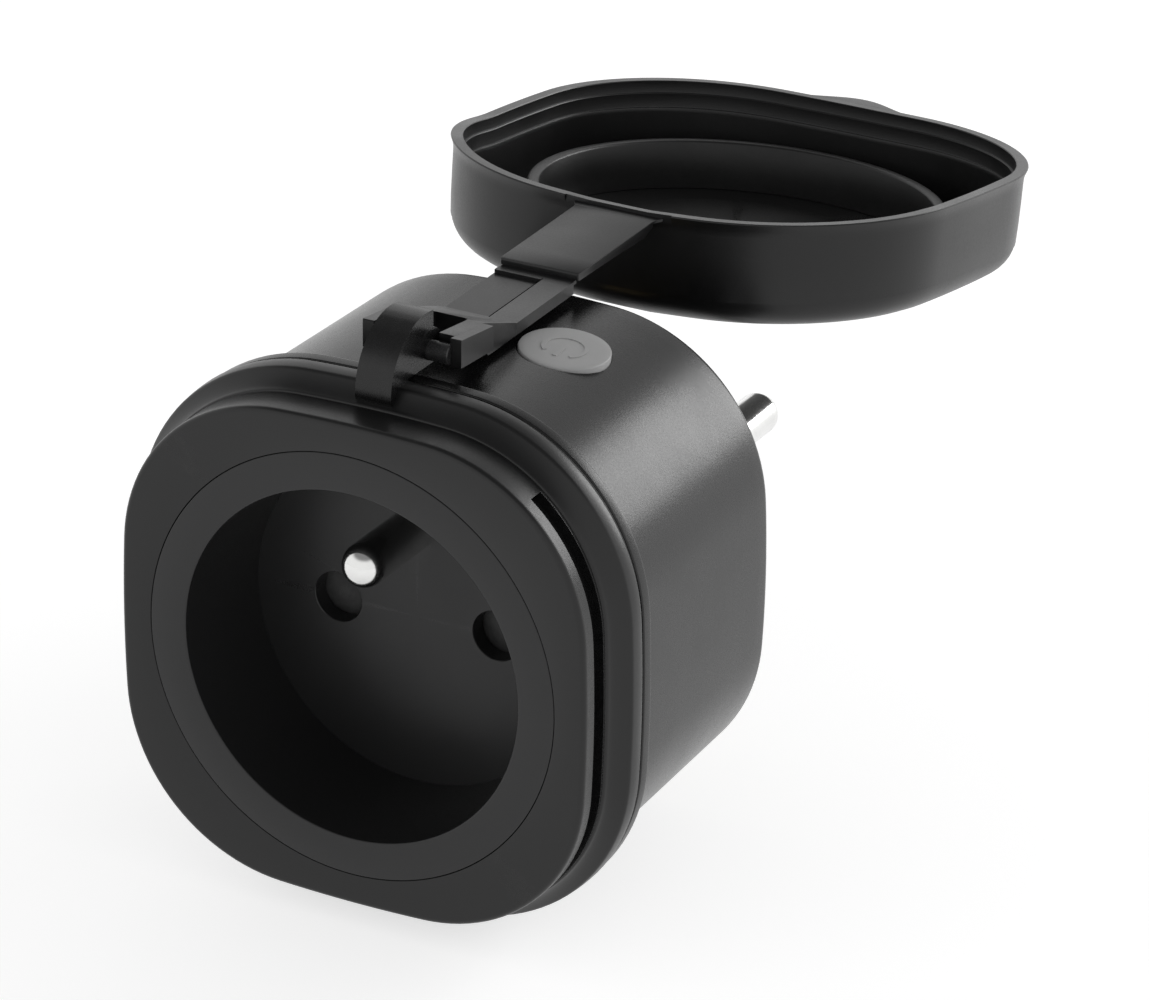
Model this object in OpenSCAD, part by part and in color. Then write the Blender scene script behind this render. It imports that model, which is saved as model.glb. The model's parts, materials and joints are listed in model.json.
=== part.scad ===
// Outdoor smart plug: a squared socket adapter with a strap-hinged splash lid.
// Origin: centre of the plug face, where the pins leave the round plug boss.
// +Y points along the pins towards the wall, +X to the right seen from the front, +Z up.

/* [Body] */
// Width and height of the front block across its flats
body_w = 55; // [52:0.5:60]
// Corner radius of the squared body
corner_r = 19.5; // [14:0.5:22]
// Depth of the body from the front face to the rear wall
body_depth = 42; // [40:0.5:46]
// Width of the collar where cover and housing meet
collar_w = 59.1; // [58:0.1:64]
// Depth of the front cover
cover_depth = 8.8; // [8.4:0.1:9.2]
// Wall thickness of the shells
wall_t = 1.8; // [1.4:0.1:2.2]

/* [Socket] */
// Radius of the socket well
well_r = 19.7; // [19.5:0.1:20]
// Depth of the socket well
well_depth = 14.1; // [13:0.1:15]
// Distance between the two contact holes and between the two plug pins
pin_pitch = 19; // [19:0.1:19.2]
// Radius of a contact hole
contact_hole_r = 2.8; // [2.6:0.1:3]
// Height of the earth pin above the contact holes
earth_rise = 10.5; // [10:0.1:10.8]

/* [Plug] */
// Radius of the round plug boss
boss_r = 17.6; // [17:0.1:18]
// Length of the plug boss behind the body
boss_len = 15; // [14:0.5:15]
// Radius of the plug pins and of the earth pin
pin_r = 2.4; // [2.3:0.1:2.4]
// Free length of the plug pins
pin_len = 19; // [18:0.5:19]
// Height of the plug above the centre of the body
plug_rise = 1.9; // [0:0.1:2]

/* [Lid] */
// Outer width of the lid
lid_w = 59.2; // [59:0.1:59.6]
// Depth of the lid
lid_depth = 12; // [11.5:0.1:12.5]
// Droop of the open lid below the horizontal, in degrees
lid_droop = 7.8; // [5:0.1:8]
// Width of the hinge lug on the cover
lug_w = 4.2; // [3.6:0.1:4.6]
// Radius of the hinge pin
hinge_pin_r = 1.1; // [0.9:0.05:1.2]
// Width of the lid strap
strap_w = 9; // [8.4:0.1:9.4]

/* [Button] */
// Radius of the power button
button_r = 4.92; // [4.5:0.02:5]
// Depth the button travels when pressed
button_travel = 0.5; // [0.3:0.05:0.5]

/* [Hidden] */
$fn = 64;
half = body_w / 2;
collar_half = collar_w / 2;
front_y = -(body_depth + boss_len);
contact_x = pin_pitch / 2;
fit_gap = 0.02;

// Stations along the depth, measured back from the front face
flare_y = 4.6;
flare_steps = 7;
face_t = 2;
ring_t = 0.8;
ring_r = 23.86;
cup_r = 21;
seal_t = 0.3;
housing_y = cover_depth + seal_t;
lip_end_y = 11.9;
floor_t = 2;
floor_back_y = well_depth + floor_t;
shutter_t = 1.5;
shutter_y = floor_back_y + 0.3;
carrier_y = shutter_y + shutter_t + 0.3;
carrier_t = 1.8;
board_y = 31;
board_t = 1.6;
rear_wall_y = body_depth - 2;
earth_bar_y = board_y + 3.2;
earth_bar_t = 1.2;
post_xy = 17.2;
post_r = 3;
post_split_y = 16.4;
screw_r = 1.4;

// Shutter windows and travel
shutter_travel = 6;
window_r = 2.9;

// Hinge, strap and lid stations in the body's own frame
pin_y = 13.2;
pin_z = 31.2;
lug_y = 12.2;
lug_z = 28.4;
lug_r = 7.2;
lug_end_y = 13.75;
pin_boss_r = 2.4;
ear_in_x = 2.65;
cheek_in_x = strap_w / 2;
ear_out_x = 5.8;
ear_skin = 0.4;
strap_low_z = 28.1;
strap_top_z = 29.45;
fold_y = 39.8;
plate_low_z = 28.9;
plate_top_z = 30.2;
plate_end_y = 57.1;
plate_end_run = 1.9;
plate_end_rise = 0.7;
lid_half = lid_w / 2;
lid_y = 87.5;
lid_z = 26.6;
lid_corner_r = corner_r + 2;
lid_wall = 2.2;
lid_rim_wall = 1.25;
lid_floor_t = 1.6;
lid_step = 5.2;
lid_edge_r = 3.4;
lid_edge_steps = 5;

// Button place on the top face, right of the middle
button_x = 9.5;
button_y = 28.4;
button_z = 27.05;
button_tilt = 5.2;

// ---------- shared shapes ----------

// Moves from the front face's centre, with +Y running back, to the row's origin
module from_front() {
    translate([0, front_y, -plug_rise]) children();
}

// Squared outline with round corners
module rounded_square(h, r) {
    square([2 * h, 2 * (h - r)], center = true);
    square([2 * (h - r), 2 * h], center = true);
    for (sx = [-1, 1], sy = [-1, 1])
        translate([sx * (h - r), sy * (h - r)]) circle(r, $fn = 96);
}

// Prism of the squared outline between two depths
module block(y0, y1, h, r) {
    translate([0, y1, 0]) rotate([90, 0, 0]) linear_extrude(y1 - y0) rounded_square(h, r);
}

// Body prism, grown by an offset from the front block's outline
module body_block(y0, y1, grow = 0) {
    block(y0, y1, half + grow, corner_r + grow);
}

// Cylinder along +Y between two depths
module y_rod(y0, y1, r) {
    translate([0, y1, 0]) rotate([90, 0, 0]) cylinder(r = r, h = y1 - y0);
}

// Cylinder along X, centred
module x_rod(w, r) {
    rotate([0, 90, 0]) cylinder(r = r, h = w, center = true);
}

// Side profile in Y and Z, extruded along X
module side_extrude(w) {
    rotate([90, 0, 90]) linear_extrude(w, center = true) children();
}

// One child at each of the four corner posts
module at_posts() {
    for (sx = [-1, 1], sz = [-1, 1])
        translate([sx * post_xy, 0, sz * post_xy]) children();
}

// Box given by its low and high corners
module span_box(low, high) {
    translate(low) cube(high - low);
}

// Points of one ring of a coil's wire, for a coil along +X
function coil_ring(turn, pitch, r, wire_r, sides) = [
    for (s = [0 : sides - 1])
        let (a = 360 * s / sides, rr = r + wire_r * cos(a))
        [pitch * turn + wire_r * sin(a), rr * cos(360 * turn), rr * sin(360 * turn)]
];

// Helical wire along +X, swept ring by ring
module coil(length, turns, r, wire_r, per_turn = 14, sides = 8) {
    rings = turns * per_turn;
    pitch = (length - 2 * wire_r) / turns;
    points = [for (i = [0 : rings]) each coil_ring(i / per_turn, pitch, r, wire_r, sides)];
    walls = [
        for (i = [0 : rings - 1], s = [0 : sides - 1])
            let (n = (s + 1) % sides, a = i * sides, b = a + sides)
            each [[a + s, a + n, b + n], [a + s, b + n, b + s]]
    ];
    start_cap = [[for (s = [0 : sides - 1]) sides - 1 - s]];
    end_cap = [[for (s = [0 : sides - 1]) rings * sides + s]];
    translate([wire_r, 0, 0]) polyhedron(points, concat(walls, start_cap, end_cap));
}

// ---------- shells ----------

// Concave flare from the block to the collar, as thin prisms
module cover_flare() {
    step = (cover_depth - flare_y) / flare_steps;
    for (i = [1 : flare_steps]) {
        grow = (collar_half - half) * pow(i / flare_steps, 2);
        body_block(flare_y + (i - 1) * step, flare_y + i * step, grow);
    }
}

// Hinge lug: a quarter arch that rises from the collar and ends in a round boss for the hinge pin
module hinge_lug() {
    difference() {
        union() {
            difference() {
                translate([0, lug_y, lug_z]) x_rod(lug_w, lug_r);
                span_box([-lug_w, lug_end_y, 0], [lug_w, lug_y + lug_r + 1, lug_z + lug_r + 1]);
            }
            translate([0, pin_y, pin_z]) x_rod(lug_w, pin_boss_r);
        }
        span_box([-lug_w, -1, 0], [lug_w, cover_depth + 15, lug_z - 1.4]);
        span_box([-lug_w, cover_depth, 0], [lug_w, cover_depth + 15, collar_half + 0.1]);
        translate([0, pin_y, pin_z]) x_rod(lug_w + 1, hinge_pin_r + fit_gap / 2);
    }
}

module front_cover() {
    slot_w = 2;
    slot_y = 2.6;
    slot_t = 0.8;
    slot_half = 23;
    slot_inner_x = 17;
    color("#222222") from_front() {
        difference() {
            union() {
                body_block(0, 0.35, -0.35);
                body_block(0.35, cover_depth);
                cover_flare();
            }
            y_rod(-1, ring_t, ring_r + 0.08);
            y_rod(-1, face_t + 1, cup_r + fit_gap);
            body_block(face_t, cover_depth + 1, -wall_t);
            // snap slots round the left and right sides
            for (s = [-1, 1]) intersection() {
                difference() {
                    body_block(slot_y, slot_y + slot_w, 1);
                    body_block(slot_y - 1, slot_y + slot_w + 1, -slot_t);
                }
                translate([s * (slot_inner_x + half), slot_y, 0])
                    cube([2 * half, 4 * slot_w, 2 * slot_half], center = true);
            }
        }
        difference() {
            at_posts() y_rod(face_t, post_split_y, post_r);
            at_posts() y_rod(face_t + 3, post_split_y + 1, screw_r + fit_gap);
        }
        hinge_lug();
    }
}

module socket_cup() {
    color("#262626") from_front() difference() {
        union() {
            y_rod(0, ring_t, ring_r);
            y_rod(ring_t, floor_back_y, cup_r);
        }
        y_rod(-1, well_depth, well_r);
        for (s = [-1, 1])
            translate([s * contact_x, 0, 0]) y_rod(well_depth - 1, floor_back_y + 1, contact_hole_r);
        translate([0, 0, earth_rise]) y_rod(well_depth - 1, floor_back_y + 1, 2 + fit_gap);
    }
}

module socket_earth_pin() {
    tip_y = 0.9;
    color("silver") from_front() translate([0, 0, earth_rise]) {
        translate([0, tip_y + pin_r, 0]) sphere(pin_r);
        y_rod(tip_y + pin_r, well_depth, pin_r);
        y_rod(well_depth, earth_bar_y, 2);
    }
}

module cover_seal() {
    color("#101010") from_front() difference() {
        body_block(cover_depth, housing_y, 1.5);
        body_block(cover_depth - 1, housing_y + 1, -wall_t + 0.4);
    }
}

// Local frame of the button: origin on the outer surface, +Z along its outward normal
module button_frame() {
    from_front() translate([button_x, button_y, button_z]) rotate([0, button_tilt, 0]) children();
}

module rear_housing() {
    hole_r = button_r + 0.08;
    difference() {
        color("#1c1c1c") from_front() difference() {
            union() {
                body_block(housing_y, housing_y + 0.4, 1.5);
                body_block(housing_y + 0.4, lip_end_y - 0.5, 1.95);
                body_block(lip_end_y - 0.5, lip_end_y, 1.5);
                body_block(lip_end_y, body_depth - 0.8, 0);
                body_block(body_depth - 0.8, body_depth, -0.8);
            }
            difference() {
                body_block(housing_y - 1, rear_wall_y, -wall_t);
                at_posts() y_rod(post_split_y, body_depth, post_r);
            }
            translate([0, 0, plug_rise]) y_rod(rear_wall_y - 1, body_depth + 1, boss_r + fit_gap);
            at_posts() y_rod(post_split_y - 1, body_depth + 1, screw_r + 0.2);
            at_posts() y_rod(body_depth - 3, body_depth + 1, 2.6);
        }
        button_frame() translate([0, 0, -3]) cylinder(r = hole_r, h = 5);
    }
}

// ---------- plug side ----------

module plug_boss() {
    flange_r = 19.4;
    inner_r = boss_r - 2.2;
    end_y = body_depth + boss_len;
    end_t = 2.5;
    sleeve_r = 4;
    guide_w = 5;
    neck_t = 0.6;
    neck_gap = 0.2;
    end_step = 1.6;
    color("#202020") from_front() translate([0, 0, plug_rise]) difference() {
        union() {
            difference() {
                union() {
                    y_rod(rear_wall_y - 2, rear_wall_y, flange_r);
                    y_rod(rear_wall_y, end_y - end_step, boss_r);
                    y_rod(end_y - end_step, end_y, boss_r - end_step);
                }
                y_rod(rear_wall_y - 3, end_y - end_t, inner_r);
            }
            for (s = [-1, 1])
                translate([s * contact_x, 0, 0]) y_rod(rear_wall_y - 2, end_y - end_t, sleeve_r);
            translate([0, 0, earth_rise]) y_rod(rear_wall_y - 2, end_y - end_t, sleeve_r);
        }
        for (s = [-1, 1])
            translate([s * contact_x, 0, 0]) {
                y_rod(rear_wall_y - 3, end_y, 2.2 + fit_gap);
                y_rod(end_y - neck_t, end_y + 1, pin_r + neck_gap);
            }
        translate([0, 0, earth_rise]) {
            y_rod(rear_wall_y - 3, end_y - end_t, 3.2 + fit_gap);
            y_rod(end_y - end_t - 1, end_y + 1, 2.9);
        }
        // guide grooves left and right, clip seats above and below
        for (s = [-1, 1]) {
            translate([s * (boss_r + 0.6), body_depth + boss_len / 2 + 1, 0])
                cube([4, boss_len, guide_w], center = true);
            translate([0, body_depth + boss_len / 2, s * (boss_r - 0.2)])
                cube([6.4, boss_len + 10, 1.6], center = true);
        }
    }
}

module plug_pin(side) {
    plate_y = board_y + board_t + 0.1;
    end_y = body_depth + boss_len;
    color("silver") from_front() translate([side * contact_x, 0, plug_rise]) {
        y_rod(plate_y, end_y, 2.2);
        y_rod(end_y, end_y + pin_len - 1.5, pin_r);
        translate([0, end_y + pin_len - 1.5, 0]) rotate([-90, 0, 0])
            cylinder(r1 = pin_r, r2 = pin_r - 1.1, h = 1.5);
    }
}

module plug_pin_left() { plug_pin(-1); }

module plug_pin_right() { plug_pin(1); }

// Two sprung side contacts, joined behind the boss by the earth bar
module earth_clips() {
    clip_t = 0.6;
    start_y = earth_bar_y + earth_bar_t;
    color("#c8b070") from_front() translate([0, 0, plug_rise])
        for (s = [-1, 1])
            translate([0, 0, s * (boss_r - 0.6)])
                span_box([-3, start_y, -clip_t / 2], [3, body_depth + boss_len - 2, clip_t / 2]);
}

module earth_sleeve() {
    color("#c8b070") from_front() translate([0, 0, plug_rise + earth_rise]) difference() {
        y_rod(rear_wall_y - 3, body_depth + boss_len - 2.6, 3.2);
        y_rod(rear_wall_y - 1, body_depth + boss_len, 2.5);
    }
}

module earth_bar() {
    end_y = earth_bar_y + earth_bar_t;
    reach = boss_r - 0.3;
    color("#c8b070") from_front() translate([0, 0, plug_rise]) {
        span_box([-3, earth_bar_y, -reach], [3, end_y, reach]);
        translate([0, 0, earth_rise]) y_rod(end_y, rear_wall_y - 3, 2);
    }
}

// ---------- contacts and shutter ----------

module contact_carrier() {
    end_y = carrier_y + carrier_t;
    color("#e8e4da") from_front() difference() {
        union() {
            intersection() {
                y_rod(carrier_y, end_y, cup_r - 0.2);
                span_box([-24, carrier_y, -10.5], [24, end_y, 14]);
            }
            span_box([-18.5, floor_back_y, 4.8], [18.5, carrier_y, 6.4]);
            span_box([-18.5, floor_back_y, -6.4], [-4, carrier_y, -4.8]);
            span_box([14, floor_back_y, -9.2], [17.5, carrier_y, -4.8]);
        }
        for (s = [-1, 1])
            translate([s * contact_x, 0, 0]) y_rod(carrier_y - 1, end_y + 1, 3.2);
        translate([0, 0, earth_rise]) y_rod(carrier_y - 1, end_y + 1, 2.3);
    }
}

// Split spring sleeve that grips one pin of an inserted plug
module sleeve_contact(side) {
    y0 = carrier_y + carrier_t + 0.2;
    color("#c9a24a") from_front() translate([side * contact_x, 0, 0]) difference() {
        union() {
            y_rod(y0, board_y - 2, 3.3);
            y_rod(board_y - 2, board_y, 2);
        }
        y_rod(y0 - 1, board_y - 2.8, 2.45);
        span_box([-0.4, y0 - 1, -4], [0.4, y0 + 6, 4]);
    }
}

module line_contact() { sleeve_contact(1); }

module neutral_contact() { sleeve_contact(-1); }

module pin_shutter() {
    color("#d9d5cc") from_front() {
        difference() {
            span_box([-20, shutter_y, -4.5], [13.8, shutter_y + shutter_t, 4.5]);
            for (s = [-1, 1])
                translate([s * contact_x - shutter_travel, 0, 0])
                    y_rod(shutter_y - 1, shutter_y + shutter_t + 1, window_r);
        }
        span_box([-2, shutter_y, -9], [-0.6, shutter_y + shutter_t, -4.5]);
    }
}

module shutter_spring() {
    color("silver") from_front() translate([-0.5, shutter_y + shutter_t / 2, -7])
        coil(14.4, 7, 0.84, 0.18);
}

// ---------- electronics ----------

module main_board() {
    color("#1f6b3a") from_front() difference() {
        union() {
            span_box([-24.6, board_y, -13.6], [24.6, board_y + board_t, 13.6]);
            span_box([-13.6, board_y, -24.6], [13.6, board_y + board_t, 24.6]);
        }
        translate([0, 0, earth_rise]) y_rod(board_y - 1, board_y + board_t + 1, 2.6);
        // clears the button and its switch
        span_box([2.5, board_y - 1, 18.8], [17, board_y + board_t + 1, 26]);
    }
}

module relay() {
    color("#1e4f9c") from_front() difference() {
        span_box([-13.6, 20.4, -24], [-1.2, board_y, -9.4]);
        span_box([-14, 20, -17.2], [-13.2, board_y - 1, -16.2]);
    }
}

module power_module() {
    color("#e0b040") from_front() {
        span_box([1.2, 20.4, -24], [13.6, board_y - 2, -9.4]);
        span_box([2.4, board_y - 2, -22.8], [12.4, board_y, -10.6]);
    }
}

module capacitors() {
    color("#303a80") from_front()
        for (z = [-5.2, 5.2])
            translate([-19.6, 0, z]) {
                y_rod(20.8, board_y - 0.6, 4.6);
                y_rod(board_y - 0.6, board_y, 3.8);
            }
}

module fuse() {
    color("#d8d8d0") from_front() translate([19.6, board_y - 4, 0]) {
        cylinder(r = 2.4, h = 10, center = true);
        for (s = [-1, 1]) {
            translate([0, 0, s * 6.4]) cylinder(r = 2.7, h = 2.8, center = true);
            translate([0, 2, s * 6.4]) cube([1, 4, 1], center = true);
        }
    }
}

module varistor() {
    color("#2f7fb5") from_front() translate([-8.4, 0, 14.4]) {
        y_rod(board_y - 4.2, board_y - 0.8, 4.6);
        y_rod(board_y - 0.8, board_y, 1.2);
    }
}

module wifi_module() {
    color("#3a3f46") from_front() {
        span_box([-13.2, 20.4, 20.4], [0.4, board_y, 21.4]);
        span_box([-12, 21.2, 21.4], [-3, board_y - 2, 23.6]);
    }
}

// ---------- button ----------

module button_cap() {
    color("#9a9a9a") button_frame() {
        translate([0, 0, -2.6]) cylinder(r = button_r, h = 2.9);
        translate([0, 0, 0.3]) cylinder(r = button_r - 0.7, h = 0.15);
        translate([0, 0, -3.4]) cylinder(r = 5.5, h = 0.8);
        translate([0, 0, -3.5]) cylinder(r = 1.6, h = 0.5);
    }
}

module button_gasket() {
    color("#3c3c3c") button_frame() translate([0, 0, -3.9]) difference() {
        cylinder(r = 6.4, h = 1.2);
        translate([0, 0, -1]) cylinder(r = 5.7, h = 4);
    }
}

module switch_plunger() {
    color("#141414") button_frame() translate([0, 0, -4.9 - button_travel]) cylinder(r = 1.7, h = 1.6);
}

module switch_body() {
    color("#b8bcc0") button_frame() difference() {
        span_box([-3, -3, -7.9], [3, 3, -4.5]);
        translate([0, 0, -6.2]) cylinder(r = 1.76, h = 4);
    }
}

module status_led() {
    color("#dfe8ff") button_frame() translate([-5.4, 0, 0]) {
        translate([0, 0, -7.9]) cylinder(r = 1.2, h = 2);
        translate([0, 0, -5.9]) sphere(1.2);
    }
}

module button_board() {
    rear = board_y - button_y;
    color("#1f6b3a") button_frame() span_box([-7.6, rear - 9, -9.3], [4.4, rear, -7.9]);
}

// ---------- fasteners and lid ----------

module housing_screws() {
    color("silver") from_front() at_posts() {
        y_rod(9, body_depth - 3, screw_r);
        difference() {
            y_rod(body_depth - 3, body_depth - 1.4, 2.5);
            translate([0, body_depth - 1.4, 0]) cube([3.2, 1.6, 0.6], center = true);
            translate([0, body_depth - 1.4, 0]) cube([0.6, 1.6, 3.2], center = true);
        }
    }
}

module hinge_pin() {
    color("#2c2c2c") from_front() translate([0, pin_y, pin_z])
        x_rod(2 * (ear_out_x - 2 * ear_skin), hinge_pin_r);
}

// Side profile of the strap's head: a flat block at the pin, sloping to the strap behind
module head_profile() {
    polygon([
        [12.6, 30.35], [19.8, 29.5], [21, strap_low_z], [27.2, strap_low_z],
        [27.2, strap_top_z], [19.9, 32.15], [12.9, 32.95], [12.6, 32.7]
    ]);
}

module strap_link() {
    cheek_w = ear_out_x - cheek_in_x;
    cheek_end_y = 19.8;
    head_y = pin_y + 1.45;
    notch_end_y = 21;
    pocket_t = 0.45;
    pocket_x = 1.1;
    color("#2a2a2a") from_front() difference() {
        union() {
            // the two cheeks that hold the pin's ends
            for (s = [-1, 1])
                translate([s * (cheek_in_x + cheek_w / 2), 0, 0]) intersection() {
                    side_extrude(cheek_w) head_profile();
                    span_box([-ear_out_x, 0, 20], [ear_out_x, cheek_end_y, 40]);
                }
            // the head between them, notched for the lug
            difference() {
                side_extrude(strap_w) head_profile();
                span_box([-strap_w, pin_y - 3, 20], [strap_w, head_y, 40]);
                span_box([-ear_in_x, pin_y - 3, 20], [ear_in_x, notch_end_y, 40]);
            }
            span_box([-strap_w / 2, 22, strap_low_z], [strap_w / 2, fold_y - 0.2, strap_top_z]);
        }
        span_box([-strap_w, 27.2, strap_top_z - pocket_t], [pocket_x, 38.6, strap_top_z + 1]);
        translate([0, pin_y, pin_z]) x_rod(2 * (ear_out_x - ear_skin), hinge_pin_r + 0.06);
    }
}

module strap_plate() {
    plate_w = strap_w + 0.6;
    color("#2a2a2a") from_front() {
        span_box([-strap_w / 2, fold_y + 0.15, plate_low_z], [strap_w / 2, fold_y + 0.6, strap_top_z]);
        side_extrude(plate_w) polygon([
            [fold_y + 0.5, plate_low_z], [plate_end_y - plate_end_run, plate_low_z],
            [plate_end_y, plate_low_z + plate_end_rise], [plate_end_y, plate_top_z],
            [fold_y + 0.5, plate_top_z]
        ]);
    }
}

// Local frame of the open lid: rim plane at Z 0, opening up
module lid_frame() {
    from_front() translate([0, lid_y, lid_z]) rotate([-lid_droop, 0, 0]) children();
}

// Prism of the lid's outline between two heights
module lid_block(z0, z1, grow = 0) {
    translate([0, 0, z0]) linear_extrude(z1 - z0)
        rounded_square(lid_half + grow, lid_corner_r + grow);
}

// Rounded lower edge of the lid, as thin prisms
module lid_base() {
    step = lid_edge_r / lid_edge_steps;
    for (i = [0 : lid_edge_steps - 1]) {
        a = 1 - (i + 0.5) / lid_edge_steps;
        z0 = -lid_depth + i * step;
        lid_block(z0, z0 + step, -lid_edge_r * (1 - sqrt(1 - a * a)));
    }
}

module lid_shell() {
    tab_w = 11;
    tab_reach = 3.2;
    tab_end_r = 1.5;
    tab_t = 1.4;
    color("#242424") lid_frame() difference() {
        union() {
            lid_base();
            lid_block(-lid_depth + lid_edge_r, -1.2, 0);
            difference() {
                lid_block(-1.2, 0, 0.4);
                translate([0, -lid_half - 1, 0]) cube([13, 2, 4], center = true);
            }
            // finger tab on the far side
            hull()
                for (s = [-1, 1], reach = [0, tab_reach])
                    translate([s * (tab_w / 2 - tab_end_r), lid_half + reach - tab_end_r, -tab_t])
                        cylinder(r = tab_end_r, h = tab_t, $fn = 32);
        }
        lid_block(-lid_depth + lid_floor_t, -lid_depth + lid_edge_r, -lid_wall - 0.9);
        lid_block(-lid_depth + lid_edge_r, -lid_step, -lid_wall);
        lid_block(-lid_step - 0.1, 1, -lid_rim_wall);
    }
}

module lid_ring() {
    tip_z = -4.7;
    color("#1a1a1a") lid_frame() translate([0, 0, -lid_depth + lid_floor_t]) difference() {
        cylinder(r = 23.7, h = lid_depth - lid_floor_t + tip_z);
        translate([0, 0, -1]) cylinder(r = 22.3, h = lid_depth);
    }
}

front_cover();
socket_cup();
socket_earth_pin();
cover_seal();
rear_housing();
plug_boss();
plug_pin_left();
plug_pin_right();
earth_clips();
earth_sleeve();
earth_bar();
contact_carrier();
line_contact();
neutral_contact();
pin_shutter();
shutter_spring();
main_board();
relay();
power_module();
capacitors();
fuse();
varistor();
wifi_module();
button_board();
switch_body();
switch_plunger();
status_led();
button_gasket();
button_cap();
housing_screws();
hinge_pin();
strap_link();
strap_plate();
lid_shell();
lid_ring();
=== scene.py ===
import json
import math

import bmesh
import bpy
from mathutils import Matrix, Vector


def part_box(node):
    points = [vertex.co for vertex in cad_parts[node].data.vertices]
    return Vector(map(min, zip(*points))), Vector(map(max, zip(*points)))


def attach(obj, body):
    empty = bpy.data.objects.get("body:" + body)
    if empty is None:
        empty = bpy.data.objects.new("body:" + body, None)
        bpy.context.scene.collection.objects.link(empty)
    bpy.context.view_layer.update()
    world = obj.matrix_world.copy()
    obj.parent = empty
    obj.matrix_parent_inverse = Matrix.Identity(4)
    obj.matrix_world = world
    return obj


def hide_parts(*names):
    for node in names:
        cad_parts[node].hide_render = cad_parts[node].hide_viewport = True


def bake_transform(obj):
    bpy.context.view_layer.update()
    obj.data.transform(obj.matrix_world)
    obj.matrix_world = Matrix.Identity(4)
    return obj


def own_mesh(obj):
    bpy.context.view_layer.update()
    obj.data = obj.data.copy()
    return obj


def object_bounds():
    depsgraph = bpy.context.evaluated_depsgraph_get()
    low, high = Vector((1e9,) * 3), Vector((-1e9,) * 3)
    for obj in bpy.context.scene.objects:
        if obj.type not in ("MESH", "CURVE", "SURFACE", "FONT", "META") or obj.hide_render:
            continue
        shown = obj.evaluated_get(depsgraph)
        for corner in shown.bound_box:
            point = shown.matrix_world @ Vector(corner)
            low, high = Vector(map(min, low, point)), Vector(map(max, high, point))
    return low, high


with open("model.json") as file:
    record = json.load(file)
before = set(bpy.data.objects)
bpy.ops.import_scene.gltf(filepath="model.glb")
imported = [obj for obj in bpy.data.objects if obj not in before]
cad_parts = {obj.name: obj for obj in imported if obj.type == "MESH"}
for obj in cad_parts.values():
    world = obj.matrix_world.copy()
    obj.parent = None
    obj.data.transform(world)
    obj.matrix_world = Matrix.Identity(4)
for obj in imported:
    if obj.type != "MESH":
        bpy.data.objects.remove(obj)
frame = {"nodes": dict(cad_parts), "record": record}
cad_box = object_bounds()

# ---------------------------------------------------------------- frames
# Shapes are built in millimetres in the body's own frame: X right, Y back from
# the front face, Z up from the socket's axis. The row frame starts at the plug face.
MM = 0.001
FACE_TO_PLUG = 57.0
PLUG_RISE = 1.9
BODY = Matrix.Scale(MM, 4) @ Matrix.Translation((0, -FACE_TO_PLUG, -PLUG_RISE))

LID_CENTRE = (0, 87.5, 26.6)
LID_DROOP = math.radians(7.8)
LID = BODY @ Matrix.Translation(LID_CENTRE) @ Matrix.Rotation(-LID_DROOP, 4, "X")

BUTTON_CENTRE = (9.5, 28.4, 27.05)
BUTTON_TILT = math.radians(5.2)
BUTTON = BODY @ Matrix.Translation(BUTTON_CENTRE) @ Matrix.Rotation(BUTTON_TILT, 4, "Y")

# ---------------------------------------------------------------- sizes, mm
HALF = 27.46
CORNER_R = 19.54
SIDE_R = 185.0
REAR_SIDE_R = 154.0
COLLAR = 2.09
COVER_END = 8.72
LIP_START = 9.16
LIP_END = 10.8
BODY_END = 42.0
WALL = 1.8
WELL_R = 19.69
WELL_FLOOR_R = 19.3
WELL_DEPTH = 14.1
RING_R = 23.86
EARTH_RISE = 10.5
CONTACT_X = 9.5
BOSS_R = 17.6
PIN_R = 2.4

SIDE_STEPS = 10
CORNER_STEPS = 26


# ---------------------------------------------------------------- mesh helpers
def squircle(half, corner_r, side_r):
    """Squared outline with bowed sides and round corners, as (u, v) pairs."""
    u = side_r - half
    c = (-u + math.sqrt(2 * (side_r - corner_r) ** 2 - u * u)) / 2
    edge = math.atan2(c, c + u)
    quarter = []
    for i in range(SIDE_STEPS):
        a = edge * (2 * i / SIDE_STEPS - 1)
        quarter.append((side_r * math.cos(a) - u, side_r * math.sin(a)))
    for i in range(CORNER_STEPS):
        a = edge + (math.pi / 2 - 2 * edge) * i / CORNER_STEPS
        quarter.append((c + corner_r * math.cos(a), c + corner_r * math.sin(a)))
    points = []
    for k in range(4):
        cs, sn = ((1, 0), (0, 1), (-1, 0), (0, -1))[k]
        points += [(x * cs - y * sn, x * sn + y * cs) for x, y in quarter]
    return points


ANGLES = [math.atan2(v, u) for u, v in squircle(HALF, CORNER_R, SIDE_R)]


def ring(y, grow=0.0, side_r=SIDE_R, half=HALF):
    """The body's outline at depth y, grown outwards."""
    return [(u, y, v) for u, v in squircle(half + grow, CORNER_R + grow, side_r + grow)]


def circle(y, r):
    """A circle at depth y whose points face those of the outline."""
    return [(r * math.cos(a), y, r * math.sin(a)) for a in ANGLES]


def arc(cy, cr, r, start, end, steps):
    """(y, radius) pairs along an arc; angle 0 points outwards and 90 points back."""
    pairs = []
    for i in range(steps + 1):
        a = math.radians(start + (end - start) * i / steps)
        pairs.append((cy + r * math.sin(a), cr + r * math.cos(a)))
    return pairs


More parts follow.
